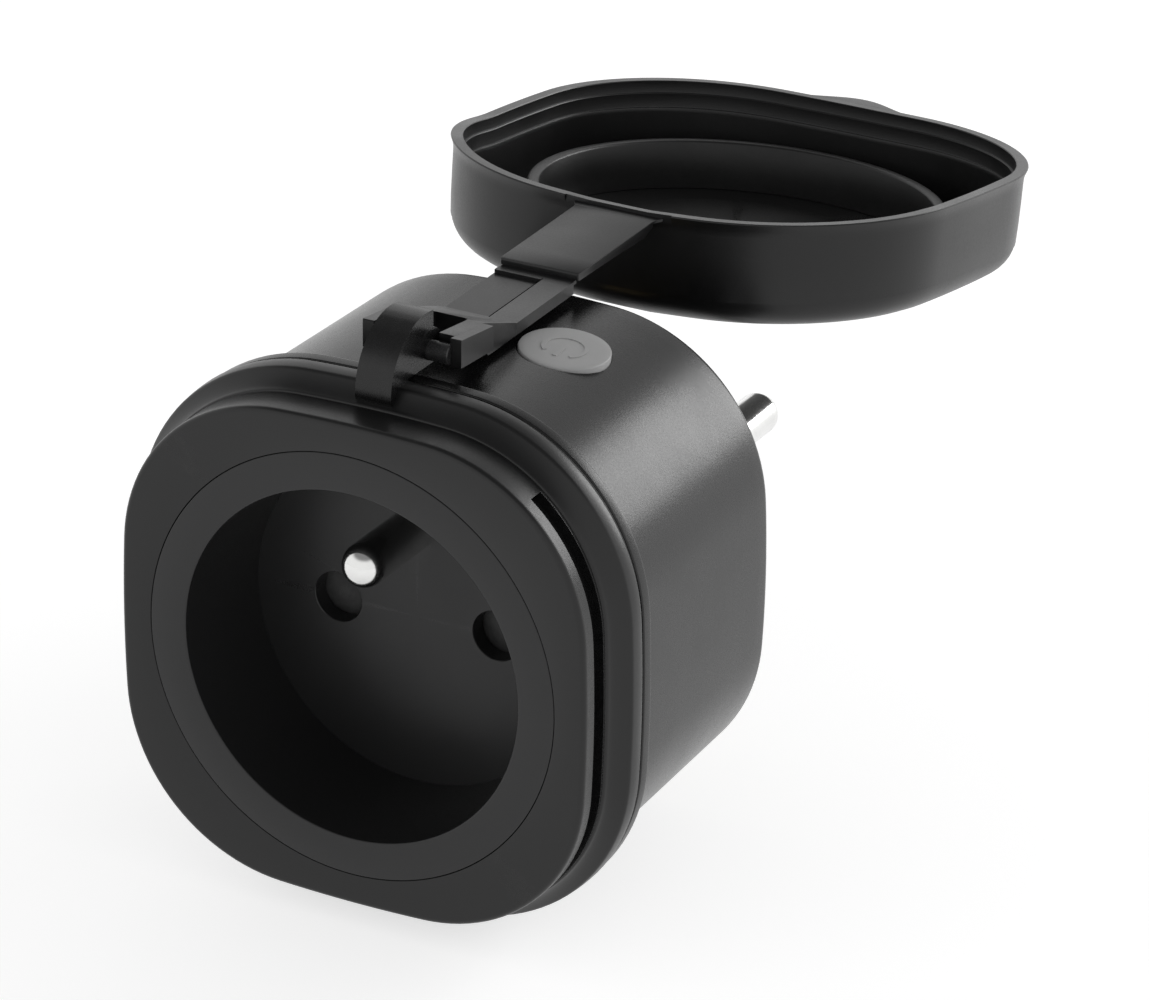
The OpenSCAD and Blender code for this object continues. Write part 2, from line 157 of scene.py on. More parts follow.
def loft(rings, wrap=False):
    """Quads through rings of equal length. Ends are closed with flat caps unless they wrap."""
    n = len(rings[0])
    points = [p for one in rings for p in one]
    faces = []
    last = len(rings) if wrap else len(rings) - 1
    for k in range(last):
        a, b = k * n, ((k + 1) % len(rings)) * n
        for i in range(n):
            j = (i + 1) % n
            faces.append((a + i, a + j, b + j, b + i))
    if not wrap:
        faces.append(tuple(range(n)))
        faces.append(tuple(range((len(rings) - 1) * n, len(rings) * n)))
    return points, faces


def lathe(profile, steps=96):
    """A solid of revolution about the Y axis from (y, r) pairs, closed at both ends."""
    rings = []
    turns = [2 * math.pi * i / steps for i in range(steps)]
    for y, r in profile:
        rings.append([(r * math.cos(turn), y, r * math.sin(turn)) for turn in turns])
    return loft(rings)


def slab(outline, low, high, axis="x"):
    """Prism of a flat outline. Axis x takes (y, z) pairs, axis z takes (x, y) pairs."""
    n = len(outline)
    if axis == "x":
        points = [(low, a, b) for a, b in outline] + [(high, a, b) for a, b in outline]
    else:
        points = [(a, b, low) for a, b in outline] + [(a, b, high) for a, b in outline]
    faces = [tuple(range(n)), tuple(range(n, 2 * n))]
    faces += [(i, (i + 1) % n, n + (i + 1) % n, n + i) for i in range(n)]
    return points, faces


def make(name, shape):
    """An object in millimetres with its faces turned outwards."""
    points, faces = shape
    mesh = bpy.data.meshes.new(name)
    mesh.from_pydata(points, [], faces)
    bm = bmesh.new()
    bm.from_mesh(mesh)
    bmesh.ops.recalc_face_normals(bm, faces=bm.faces)
    bm.to_mesh(mesh)
    bm.free()
    obj = bpy.data.objects.new(name, mesh)
    bpy.context.scene.collection.objects.link(obj)
    return obj


def bake(obj):
    """Applies every modifier to the mesh."""
    bpy.context.view_layer.update()
    deps = bpy.context.evaluated_depsgraph_get()
    mesh = bpy.data.meshes.new_from_object(obj.evaluated_get(deps))
    obj.modifiers.clear()
    old = obj.data
    obj.data = mesh
    bpy.data.meshes.remove(old)


def combine(obj, others, operation):
    """Exact boolean of obj with each of the others, which are used up."""
    for other in others:
        mod = obj.modifiers.new("combine", "BOOLEAN")
        mod.operation = operation
        mod.solver = "EXACT"
        mod.object = other
    bake(obj)
    for other in others:
        mesh = other.data
        bpy.data.objects.remove(other)
        bpy.data.meshes.remove(mesh)
    return obj


def cut(obj, *cutters):
    return combine(obj, cutters, "DIFFERENCE")


def join(obj, *others):
    return combine(obj, others, "UNION")


def round_edges(obj, width, segments=3, angle=30):
    """Rounds the edges that are sharper than the angle."""
    mod = obj.modifiers.new("round", "BEVEL")
    mod.width = width
    mod.segments = segments
    mod.limit_method = "ANGLE"
    mod.angle_limit = math.radians(angle)
    bake(obj)


def block(x0, x1, y0, y1, z0, z1):
    """A box between two corners, mostly used to cut with."""
    return slab([(x0, y0), (x1, y0), (x1, y1), (x0, y1)], z0, z1, "z")


def moved(shape, matrix):
    """The shape with its points taken through the matrix."""
    points, faces = shape
    return [tuple(matrix @ Vector(p)) for p in points], faces


def settle(obj, place, body, slot_name, *nodes, sharp=32):
    """Puts a finished shape in the row frame, on its body, with the finish of its material slot."""
    obj.data.transform(place)
    obj.data.shade_smooth()
    obj.data.set_sharp_from_angle(angle=math.radians(sharp))
    obj.data.materials.clear()
    obj.data.materials.append(FINISHES[slot_name])
    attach(obj, body)
    if nodes:
        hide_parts(*nodes)


# ---------------------------------------------------------------- materials
def linear(value):
    """sRGB 0..255 to linear."""
    v = value / 255
    return v / 12.92 if v <= 0.04045 else ((v + 0.055) / 1.055) ** 2.4


def grey(value, tint=(1.0, 1.0, 1.0)):
    g = linear(value)
    return (g * tint[0], g * tint[1], g * tint[2], 1.0)


EDGE_LOW = 0.52
EDGE_HIGH = 0.60


def towards_white(color, gain):
    """A lighter version of a colour, for wear and highlights."""
    return tuple(min(1.0, c * gain) for c in color[:3]) + (1.0,)


class Finish:
    """A node-based material with the helpers that every finish here uses."""

    def __init__(self, name, color, roughness, metallic=0.0, specular=0.5):
        self.material = bpy.data.materials.new(name)
        self.material.use_nodes = True
        self.tree = self.material.node_tree
        self.shader = self.tree.nodes["Principled BSDF"]
        self.shader.inputs["Base Color"].default_value = color
        self.shader.inputs["Roughness"].default_value = roughness
        self.shader.inputs["Metallic"].default_value = metallic
        self.shader.inputs["Specular IOR Level"].default_value = specular
        self.color = color
        self.coords = self.tree.nodes.new("ShaderNodeTexCoord").outputs["Object"]
        self.last_normal = None

    def stretch(self, scale):
        node = self.tree.nodes.new("ShaderNodeMapping")
        node.inputs["Scale"].default_value = scale
        self.tree.links.new(self.coords, node.inputs["Vector"])
        return node.outputs["Vector"]

    def noise(self, scale, detail=3.0, rough=0.55, vector=None):
        node = self.tree.nodes.new("ShaderNodeTexNoise")
        node.inputs["Scale"].default_value = scale
        node.inputs["Detail"].default_value = detail
        node.inputs["Roughness"].default_value = rough
        self.tree.links.new(vector or self.coords, node.inputs["Vector"])
        return node.outputs["Fac"]

    def remap(self, value, low, high, to_low, to_high):
        node = self.tree.nodes.new("ShaderNodeMapRange")
        node.inputs["From Min"].default_value = low
        node.inputs["From Max"].default_value = high
        node.inputs["To Min"].default_value = to_low
        node.inputs["To Max"].default_value = to_high
        self.tree.links.new(value, node.inputs["Value"])
        return node.outputs["Result"]

    def add(self, first, second):
        node = self.tree.nodes.new("ShaderNodeMath")
        node.operation = "ADD"
        self.tree.links.new(first, node.inputs[0])
        self.tree.links.new(second, node.inputs[1])
        return node.outputs["Value"]

    def multiply(self, first, second):
        node = self.tree.nodes.new("ShaderNodeMath")
        node.operation = "MULTIPLY"
        self.tree.links.new(first, node.inputs[0])
        self.tree.links.new(second, node.inputs[1])
        return node.outputs["Value"]

    def bump(self, height, depth):
        node = self.tree.nodes.new("ShaderNodeBump")
        node.inputs["Strength"].default_value = 1.0
        node.inputs["Distance"].default_value = depth
        self.tree.links.new(height, node.inputs["Height"])
        if self.last_normal is not None:
            self.tree.links.new(self.last_normal, node.inputs["Normal"])
        self.last_normal = node.outputs["Normal"]
        self.tree.links.new(self.last_normal, self.shader.inputs["Normal"])

    def tint(self, factor, other):
        """Mixes the base colour towards another by a factor."""
        node = self.tree.nodes.new("ShaderNodeMix")
        node.data_type = "RGBA"
        colour_in = [s for s in node.inputs if s.type == "RGBA"]
        colour_in[0].default_value = self.color
        colour_in[1].default_value = other
        self.tree.links.new(factor, node.inputs["Factor"])
        result = [s for s in node.outputs if s.type == "RGBA"][0]
        self.tree.links.new(result, self.shader.inputs["Base Color"])

    def edges(self):
        """Mask of convex edges, where handling polishes the surface and a lighter colour is painted as a
        highlight.
        """
        node = self.tree.nodes.new("ShaderNodeNewGeometry")
        return self.remap(node.outputs["Pointiness"], EDGE_LOW, EDGE_HIGH, 0.0, 1.0)

    def vary_roughness(self, *values):
        total = values[0]
        for value in values[1:]:
            total = self.add(total, value)
        self.tree.links.new(total, self.shader.inputs["Roughness"])


def moulded_plastic(name, color, roughness, grain=1.0):
    """Satin injection-moulded plastic: eroded-mould grain, faint flow clouds, handled edges that are polished
    and painted lighter, partly as scuff wear and partly as a painted highlight.
    """
    f = Finish(name, color, roughness, specular=0.4)
    clouds = f.noise(90.0, 4.0)
    fine = f.noise(5200.0, 2.0)
    edge = f.edges()
    f.vary_roughness(
        f.remap(clouds, 0.3, 0.7, roughness - 0.035, roughness + 0.035),
        f.remap(fine, 0.35, 0.65, -0.03, 0.03),
        f.remap(edge, 0.0, 1.0, 0.0, -0.07),
    )
    # convex edges painted lighter in patches: partly scuff wear, partly a painted highlight
    scuff_and_highlight_patches = f.remap(f.noise(700.0, 5.0, 0.7), 0.42, 0.72, 0.0, 1.0)
    f.tint(f.multiply(edge, scuff_and_highlight_patches), towards_white(color, 1.9))
    f.bump(fine, 0.000006 * grain)
    f.bump(clouds, 0.00002 * grain)
    return f.material


def soft_rubber(name, color, roughness=0.72):
    """Moulded rubber or silicone: matt, dusty, faintly mottled."""
    f = Finish(name, color, roughness)
    f.shader.inputs["Sheen Weight"].default_value = 0.04
    f.shader.inputs["Sheen Roughness"].default_value = 0.5
    mottle = f.noise(260.0, 5.0, 0.6)
    fine = f.noise(6500.0, 2.0)
    f.vary_roughness(f.remap(mottle, 0.3, 0.7, roughness - 0.07, roughness + 0.05))
    f.tint(f.remap(mottle, 0.4, 0.75, 0.0, 0.6), towards_white(color, 1.18))
    f.bump(fine, 0.000008)
    return f.material


def plated_metal(name, color, roughness):
    """Plated or stamped metal: fine drawn lines and dulled patches."""
    f = Finish(name, color, roughness, metallic=1.0)
    drawn_along_x = (60.0, 4000.0, 4000.0)
    lines = f.noise(1.0, 4.0, 0.6, f.stretch(drawn_along_x))
    patches = f.noise(340.0, 4.0)
    f.vary_roughness(
        f.remap(lines, 0.3, 0.7, roughness - 0.03, roughness + 0.06),
        f.remap(patches, 0.35, 0.7, -0.02, 0.06),
    )
    f.tint(f.remap(patches, 0.45, 0.8, 0.0, 0.5), tuple(c * 0.78 for c in color[:3]) + (1.0,))
    f.bump(lines, 0.000002)
    return f.material


def circuit_board(name, color):
    """Solder mask over copper runs."""
    f = Finish(name, color, 0.38)
    node = f.tree.nodes.new("ShaderNodeTexBrick")
    node.inputs["Scale"].default_value = 260.0
    node.inputs["Mortar Size"].default_value = 0.05
    f.tree.links.new(f.coords, node.inputs["Vector"])
    runs = node.outputs["Fac"]
    f.tint(f.remap(runs, 0.0, 1.0, 0.0, 0.7), towards_white(color, 1.7))
    f.vary_roughness(f.remap(f.noise(400.0), 0.3, 0.7, 0.3, 0.46))
    f.bump(runs, 0.00002)
    return f.material


BLACK = (1.0, 1.0, 1.03)
FINISHES = {
    "cover_plastic": moulded_plastic("cover_plastic", grey(14, BLACK), 0.34),
    # the socket's plastic is painted lighter than the cover's black to make up for the dim light inside the
    # well: painted light
    "socket_plastic": moulded_plastic("socket_plastic", grey(24, BLACK), 0.36),
    "housing_plastic": moulded_plastic("housing_plastic", grey(12, BLACK), 0.28, 1.3),
    "plug_plastic": moulded_plastic("plug_plastic", grey(14, BLACK), 0.38),
    "strap_plastic": moulded_plastic("strap_plastic", grey(15, BLACK), 0.4),
    "lid_plastic": moulded_plastic("lid_plastic", grey(12, BLACK), 0.36),
    "hinge_steel": moulded_plastic("hinge_steel", grey(38, BLACK), 0.34),
    "shutter_plastic": moulded_plastic("shutter_plastic", grey(40), 0.5),
    "inner_plastic": moulded_plastic("inner_plastic", grey(226, (1.0, 0.98, 0.93)), 0.5),
    "relay_case": moulded_plastic("relay_case", (0.02, 0.08, 0.36, 1.0), 0.42),
    "module_wrap": moulded_plastic("module_wrap", (0.68, 0.44, 0.05, 1.0), 0.4),
    "capacitor_sleeve": moulded_plastic("capacitor_sleeve", (0.03, 0.04, 0.2, 1.0), 0.28),
    "fuse_body": moulded_plastic("fuse_body", grey(215), 0.3),
    "varistor_coat": moulded_plastic("varistor_coat", (0.03, 0.18, 0.42, 1.0), 0.35),
    "switch_key": moulded_plastic("switch_key", grey(30), 0.4),
    "led_lens": moulded_plastic("led_lens", (0.75, 0.82, 0.95, 1.0), 0.16),
    "seal_rubber": soft_rubber("seal_rubber", grey(7)),
    "lid_seal": moulded_plastic("lid_seal", grey(12), 0.42),
    "button_silicone": soft_rubber("button_silicone", grey(156), 0.58),
    "plated_metal": plated_metal("plated_metal", (0.78, 0.78, 0.77, 1.0), 0.13),
    "contact_brass": plated_metal("contact_brass", (0.80, 0.60, 0.28, 1.0), 0.3),
    "spring_steel": plated_metal("spring_steel", (0.62, 0.62, 0.63, 1.0), 0.28),
    "shield_module": plated_metal("shield_module", (0.6, 0.6, 0.6, 1.0), 0.34),
    "switch_case": plated_metal("switch_case", (0.62, 0.62, 0.64, 1.0), 0.32),
    "screw_steel": plated_metal("screw_steel", (0.58, 0.58, 0.6, 1.0), 0.3),
    "circuit_board": circuit_board("circuit_board", (0.01, 0.13, 0.05, 1.0)),
}

# the CAD nodes that stay visible carry their slot's finish too
for entry in frame["record"]["subparts"]:
    node_object = frame["nodes"][entry["node"]]
    node_object.data.materials.clear()
    node_object.data.materials.append(FINISHES[entry["material_slot"]])
    node_object.data.shade_smooth()
    node_object.data.set_sharp_from_angle(angle=math.radians(30))


# ---------------------------------------------------------------- front cover
def cover_shape():
    """Front plate, side wall, flare and collar, then back inside to the cup's seat."""
    rings = [circle(0.8, 21.2), circle(0.8, RING_R + 0.06), circle(0.14, RING_R + 0.06)]
    rings += [circle(0.04, RING_R + 0.13), circle(0.0, RING_R + 0.24), ring(0.0, -0.66)]
    rings += [ring(y, g) for y, g in arc(0.55, -0.55, 0.55, -90, 0, 6)]
    rings += [ring(0.7), ring(4.4), ring(4.5, -0.04), ring(4.56, -0.02), ring(4.62, 0.12), ring(4.72, 0.2)]
    flare_start, flare_end, steps = 4.72, 6.6, 12
    for i in range(1, steps + 1):
        t = i / steps
        rings.append(ring(flare_start + (flare_end - flare_start) * t, 0.2 + (COLLAR - 0.38) * t ** 1.5))
    rings += [ring(flare_end + 0.12, COLLAR - 0.12), ring(flare_end + 0.3, COLLAR - 0.08)]
    rings += [ring(7.6, COLLAR - 0.02), ring(8.4, COLLAR), ring(8.54, COLLAR - 0.03)]
    rings += [ring(8.66, COLLAR - 0.12), ring(COVER_END, COLLAR - 0.26)]
    rings += [ring(COVER_END, -WALL), ring(2.0, -WALL), circle(2.0, 21.2)]
    return loft(rings, wrap=True)


def slot_cutters():
    """The two snap slots: a channel in each side wall that follows the body's outline."""
    depth = 1.1
    width = 2.04
    start = 2.0
    end_z = 23.0
    inner_x = 17.0
    channel = [ring(start, -depth), ring(start, 0.9), ring(start + width, 0.9), ring(start + width, -depth)]
    cutter = make("slot_cutter", loft(channel, wrap=True))
    middle = block(-inner_x, inner_x, 0, 9, -40, 40)
    above = block(-40, 40, 0, 9, end_z, 40)
    below = block(-40, 40, 0, 9, -40, -end_z)
    return cut(cutter, make("middle", middle), make("above", above), make("below", below))


front_cover = make("front_cover_shell", cover_shape())
cut(front_cover, slot_cutters())
settle(front_cover, BODY, "base", "cover_plastic", "front_cover")

# hinge lug: a quarter arch that rises from the collar and ends in a round boss for the hinge pin
LUG_HALF = 2.1
LUG_CENTRE = (12.2, 28.4)
LUG_R = 7.19
LUG_END_Y = 13.75
PIN_BOSS_R = 2.4
HINGE_PIN = (13.2, 31.2)


def lug_outline():
    """The arch from the side, as (y, z) pairs."""
    cy, cz = LUG_CENTRE
    under_z = 29.68
    front_y = 5.4
    start = math.acos((LUG_END_Y - cy) / LUG_R)
    end = math.pi - math.asin((28.3 - cz) / LUG_R)
    steps = 40
    points = []
    for i in range(steps + 1):
        a = start + (end - start) * i / steps
        points.append((cy + LUG_R * math.cos(a), cz + LUG_R * math.sin(a)))
    points += [(front_y, 27.3), (COVER_END - 0.1, 27.3), (COVER_END - 0.1, under_z), (LUG_END_Y, under_z)]
    return points


lug = make("hinge_lug", slab(lug_outline(), -LUG_HALF, LUG_HALF))
# turns a lathed shape onto the hinge's axis
ON_HINGE = Matrix.Translation((0, *HINGE_PIN)) @ Matrix.Rotation(math.pi / 2, 4, "Z")
boss = lathe([(-LUG_HALF, PIN_BOSS_R), (LUG_HALF, PIN_BOSS_R)], 64)
join(lug, make("pin_boss", moved(boss, ON_HINGE)))
cut(lug, make("lip_gap", block(-4, 4, COVER_END - 0.1, 17, 26, 29.66)))
round_edges(lug, 0.1, 2)
settle(lug, BODY, "base", "cover_plastic")

# ---------------------------------------------------------------- socket
cup_profile = [(WELL_DEPTH, 0.02), (WELL_DEPTH, WELL_FLOOR_R)]
cup_profile += [(0.24, WELL_R)] + arc(0.22, WELL_R + 0.22, 0.22, 180, 270, 4)
groove_edge = 0.14
cup_profile += arc(groove_edge, RING_R + 0.04 - groove_edge, groove_edge, -90, 0, 4)
cup_profile += [(0.3, RING_R + 0.04), (0.4, RING_R), (0.8, RING_R), (0.8, 21.0), (16.1, 21.0), (16.1, 0.02)]
cup = make("socket_well", lathe(cup_profile, 160))
to_earth = Matrix.Translation((0, 0, EARTH_RISE))
holes = []
for side in (-1, 1):
    hole = lathe([(13.0, 2.94), (14.04, 2.94), (14.18, 2.8), (17.0, 2.8)], 64)
    holes.append(make("contact_hole", moved(hole, Matrix.Translation((side * CONTACT_X, 0, 0)))))
holes.append(make("earth_hole", moved(lathe([(12.0, 2.02), (17.0, 2.02)], 48), to_earth)))
cut(cup, *holes)
settle(cup, BODY, "base", "socket_plastic", "socket_cup")

TIP_Y = 0.9
earth_profile = [(TIP_Y, 0.02)]
for angle in range(8, 91, 6):
    turn = math.radians(angle)
    earth_profile.append((TIP_Y + PIN_R * (1 - math.cos(turn)), PIN_R * math.sin(turn)))
earth_profile += [(TIP_Y + 2.6, PIN_R), (WELL_DEPTH, PIN_R), (WELL_DEPTH, 2.0), (34.2, 2.0), (34.2, 0.02)]
earth_pin = make("earth_contact_pin", moved(lathe(earth_profile, 64), to_earth))
settle(earth_pin, BODY, "base", "plated_metal", "socket_earth_pin")

# ---------------------------------------------------------------- rear housing
HOUSING_HALF_FRONT = HALF + 0.15
HOUSING_HALF_REAR = HALF - 0.29


def housing_ring(y, grow=0.0):
    """The housing's outline at depth y: it narrows a little and its sides bow more towards the rear."""
    t = min(1.0, max(0.0, (y - LIP_END) / (BODY_END - LIP_END)))
    half = HOUSING_HALF_FRONT + (HOUSING_HALF_REAR - HOUSING_HALF_FRONT) * t
    side = SIDE_R + (REAR_SIDE_R - SIDE_R) * t
    return ring(y, grow, side, half)


def housing_shape():
    """The lip behind the seal, the body's side and rear edge, and the opening for the plug."""
    lip = 1.95
    rings = [ring(LIP_START, -WALL), ring(LIP_START, lip - 0.24)]
    rings += [ring(y, g) for y, g in arc(LIP_START + 0.22, lip - 0.22, 0.22, -90, 0, 4)]
    edge = 0.25
    rings.append(ring(LIP_END - edge - 0.05, lip))
    rings += [ring(y, g) for y, g in arc(LIP_END - edge, lip - edge, edge, 0, 90, 6)]
    rings += [ring(LIP_END, 0.6)]
    fillet = 0.35
    for angle in (60, 30, 0):
        turn = math.radians(angle)
        rings.append(housing_ring(LIP_END + fillet * (1 - math.sin(turn)), fillet * (1 - math.cos(turn))))
    rings += [housing_ring(y) for y in (12.4, 16.0, 20.0, 25.0, 30.0, 35.0, 39.0, 40.9)]
    rear = 1.0
    rings += [housing_ring(y, g) for y, g in arc(BODY_END - rear, -rear, rear, 12, 90, 6)]
    opening = BOSS_R + 0.06
    rings += [circle(BODY_END, BOSS_R + 1.6), circle(BODY_END, BOSS_R + 0.5), circle(BODY_END, opening)]
    rings += [circle(40.0, opening), ring(40.0, -WALL)]
    return loft(rings, wrap=True)


def raise_boss(points, faces):
    """Moves the opening for the plug up to the plug's axis."""
    out = []
    for x, y, z in points:
        r = math.hypot(x, z)
        if y > 39.5 and r < BOSS_R + 2.0:
            z += PLUG_RISE
        out.append((x, y, z))
    return out, faces


housing = make("rear_housing_shell", raise_boss(*housing_shape()))
hole = lathe([(-4.0, 5.0), (-0.32, 5.0), (-0.02, 5.16), (1.5, 5.5)], 96)
UPRIGHT = Matrix.Rotation(math.pi / 2, 4, "X")
tilted = Matrix.Rotation(BUTTON_TILT, 4, "Y")
to_button = Matrix.Translation(BUTTON_CENTRE) @ tilted @ UPRIGHT
cutters = [make("button_hole", moved(hole, to_button))]
SCREW_AT = 17.2
for sx in (-1, 1):
    for sz in (-1, 1):
        bore = lathe([(38.0, 2.65), (41.75, 2.65), (43.0, 3.3)], 48)
        to_screw = Matrix.Translation((sx * SCREW_AT, 0, sz * SCREW_AT))
        cutters.append(make("screw_hole", moved(bore, to_screw)))
cut(housing, *cutters)
settle(housing, BODY, "base", "housing_plastic", "rear_housing")

# ---------------------------------------------------------------- button
cap_profile = [(-3.4, 0.02), (-3.4, 5.4), (-3.3, 5.5), (-2.7, 5.5), (-2.6, 5.4), (-2.6, 4.92), (-0.02, 4.92)]
cap_profile += arc(0.0, 4.74, 0.18, 0, 80, 4)
cap_profile += [(0.2, 4.2), (0.23, 3.4), (0.25, 2.4), (0.26, 1.2), (0.26, 0.02)]
cap = make("power_button", moved(lathe(cap_profile, 96), UPRIGHT))


def arc_bar(r_in, r_out, start, end, low, high, steps=36):
    """A flat band that follows an arc, from low to high."""
    outline = []
    for i in range(steps + 1):
        a = math.radians(start + (end - start) * i / steps)
        outline.append((r_out * math.cos(a), r_out * math.sin(a)))
    for i in range(steps + 1):
        a = math.radians(end + (start - end) * i / steps)
        outline.append((r_in * math.cos(a), r_in * math.sin(a)))
    return slab(outline, low, high, "z")


# a plain raised arc and bar
SYMBOL_LOW = 0.1
SYMBOL_HIGH = 0.34
symbol_arc = make("symbol_arc", arc_bar(2.05, 2.5, -50, 230, SYMBOL_LOW, SYMBOL_HIGH))
bar_outline = [(-0.24, -2.4), (0.24, -2.4), (0.24, -0.2), (-0.24, -0.2)]
symbol_bar = make("symbol_bar", slab(bar_outline, SYMBOL_LOW, SYMBOL_HIGH, "z"))
join(cap, symbol_arc, symbol_bar)
settle(cap, BUTTON, "button", "button_silicone", "button_cap", sharp=50)

# ---------------------------------------------------------------- plug side
rise = Matrix.Translation((0, 0, PLUG_RISE))


def standing(y):
    """Stands a flat outline up across the plug's axis at depth y, to run back from there."""
    return Matrix.Translation((0, y, PLUG_RISE)) @ Matrix.Rotation(-math.pi / 2, 4, "X")


def boss_solid():
    """The round plug with its flange, grooves, clip seats, pin holes and earth entry."""
    end_edge = 1.6
    outer = [(38.0, 0.02), (38.0, 19.4), (40.0, 19.4), (40.0, BOSS_R), (55.3, BOSS_R)]
    outer += arc(FACE_TO_PLUG - end_edge, BOSS_R - end_edge, end_edge, 0, 90, 8)
    outer.append((FACE_TO_PLUG, 0.02))
    solid = make("plug_boss_body", moved(lathe(outer, 160), rise))
    cutters = [make("boss_core", moved(lathe([(36.0, 15.4), (54.5, 15.4)], 96), rise))]
    for side in (-1, 1):
        half_w = 2.5
        low, high = BOSS_R - 1.4, BOSS_R + 3
        groove = [(side * low, -half_w), (side * high, -half_w), (side * high, half_w), (side * low, half_w)]
        cutters.append(make("guide_groove", moved(slab(groove, 0, 20, "z"), standing(43.0))))
        half_w = 3.2
        low, high = side * (BOSS_R - 1.0), side * (BOSS_R + 2)
        clip = [(-half_w, low), (half_w, low), (half_w, high), (-half_w, high)]
        cutters.append(make("clip_seat", moved(slab(clip, 0, 30, "z"), standing(41.0))))
        pin_hole = lathe([(36.0, 2.22), (56.4, 2.22), (56.42, PIN_R + 0.2), (58.0, PIN_R + 0.2)], 48)
        to_pin = Matrix.Translation((side * CONTACT_X, 0, PLUG_RISE))
        cutters.append(make("pin_hole", moved(pin_hole, to_pin)))
    entry = lathe([(36.0, 3.24), (54.5, 3.24), (54.52, 2.9), (56.6, 2.9), (57.6, 3.7)], 48)
    cutters.append(make("earth_entry", moved(entry, rise @ to_earth)))
    cut(solid, *cutters)
    round_edges(solid, 0.15, 2, 40)
    return solid


settle(boss_solid(), BODY, "base", "plug_plastic", "plug_boss")

for side, node in ((-1, "plug_pin_left"), (1, "plug_pin_right")):
    profile = [(32.7, 0.02), (32.7, 2.2), (57.02, 2.2), (57.12, PIN_R), (74.2, PIN_R)]
    profile += [(74.5, 2.36), (75.0, 2.14), (75.6, 1.72), (75.9, 1.35), (76.0, 1.1), (76.0, 0.02)]
    to_pin = Matrix.Translation((side * CONTACT_X, 0, PLUG_RISE))
    pin = make(node + "_turned", moved(lathe(profile, 64), to_pin))
    settle(pin, BODY, "base", "plated_metal", node)

# ---------------------------------------------------------------- strap
STRAP_LOW = 28.1
STRAP_TOP = 29.45
HEAD_END = 27.2
HEAD = [(13.0, 29.95), (19.8, 29.5), (21.0, STRAP_LOW), (HEAD_END, STRAP_LOW)]
HEAD += [(HEAD_END, STRAP_TOP), (19.9, 32.15), (13.1, 33.05), (13.0, 32.95)]
HEAD_FRONT = 14.0

link = make("strap_link_body", block(-4.5, 4.5, 22.0, 39.6, STRAP_LOW, STRAP_TOP))
cheeks = [make("cheek", slab(HEAD, s * 4.5, s * 5.8)) for s in (-1, 1)]
for cheek in cheeks:
    cut(cheek, make("cheek_end", block(-9, 9, 19.8, 40, 20, 40)))
head = make("strap_head", slab(HEAD, -4.52, 4.52))
# the notch that the lug's boss stands in, with two clipped corners
notch = [(-2.65, 8), (2.65, 8), (2.65, 19.6), (2.4, 20.5)]
notch += [(1.7, 21.0), (-1.7, 21.0), (-2.4, 20.5), (-2.65, 19.6)]
nose_gap = make("nose_gap", block(-6, 6, 8, HEAD_FRONT, 20, 40))
cut(head, nose_gap, make("notch", slab(notch, 20, 40, "z")))
join(link, head, *cheeks)
pocket_x = 1.1
pocket = make("pocket", block(-6, pocket_x, HEAD_END, 38.6, STRAP_TOP - 0.4, 33))
pin_bore = moved(lathe([(-4.62, 1.16), (4.62, 1.16)], 48), ON_HINGE)
cut(link, pocket, make("pin_bore", pin_bore))
cut(link, make("rail_line", block(pocket_x, pocket_x + 0.14, HEAD_END, 38.9, STRAP_TOP - 0.6, 33)))
round_edges(link, 0.16, 3, 40)
settle(link, BODY, "link", "strap_plastic", "strap_link")


def plate_shape():
    """The plate as a loft along Y: it thickens below towards the lid and slopes up at its end."""
    rings = []
    # (y, half width, low z, high z)
    stations = [(40.2, 4.6, 29.44, 30.0), (40.3, 4.7, 29.42, 30.14), (40.5, 4.74, 29.38, 30.2)]
    stations += [(44, 4.75, 29.3, 30.2), (48, 4.76, 29.2, 30.2), (52, 4.77, 29.05, 30.2)]
    stations += [(55.2, 4.8, 28.95, 30.2), (57.05, 4.8, 29.62, 30.2)]
    edge = 0.12
    for y, half, low, high in stations:
        rings.append([
            (-half, y, low), (-half, y, high - edge),
            (-half + edge * 0.3, y, high - edge * 0.3), (-half + edge, y, high),
            (half - edge, y, high), (half - edge * 0.3, y, high - edge * 0.3),
            (half, y, high - edge), (half, y, low),
        ])
    return loft(rings)


plate = make("strap_plate_body", plate_shape())
settle(plate, BODY, "plate", "strap_plastic", "strap_plate")

rod = lathe([(-4.6, 0.02), (-4.6, 0.98), (-4.48, 1.1), (4.48, 1.1), (4.6, 0.98), (4.6, 0.02)], 48)
hinge_pin = make("hinge_pin_rod", moved(rod, ON_HINGE))
settle(hinge_pin, BODY, "base", "hinge_steel", "hinge_pin")

# ---------------------------------------------------------------- lid
LID_HALF = 29.6
LID_CORNER = 21.5
LID_DEPTH = 12.0
LID_FLOOR = 1.6


def lid_ring_at(w, grow=0.0):
    """The lid's outline at height w, grown outwards."""
    return [(u, v, w) for u, v in squircle(LID_HALF + grow, LID_CORNER + grow, SIDE_R + grow)]


def lid_circle(w, r):
    """A circle at height w whose points face those of the outline."""
    return [(r * math.cos(a), r * math.sin(a), w) for a in ANGLES]


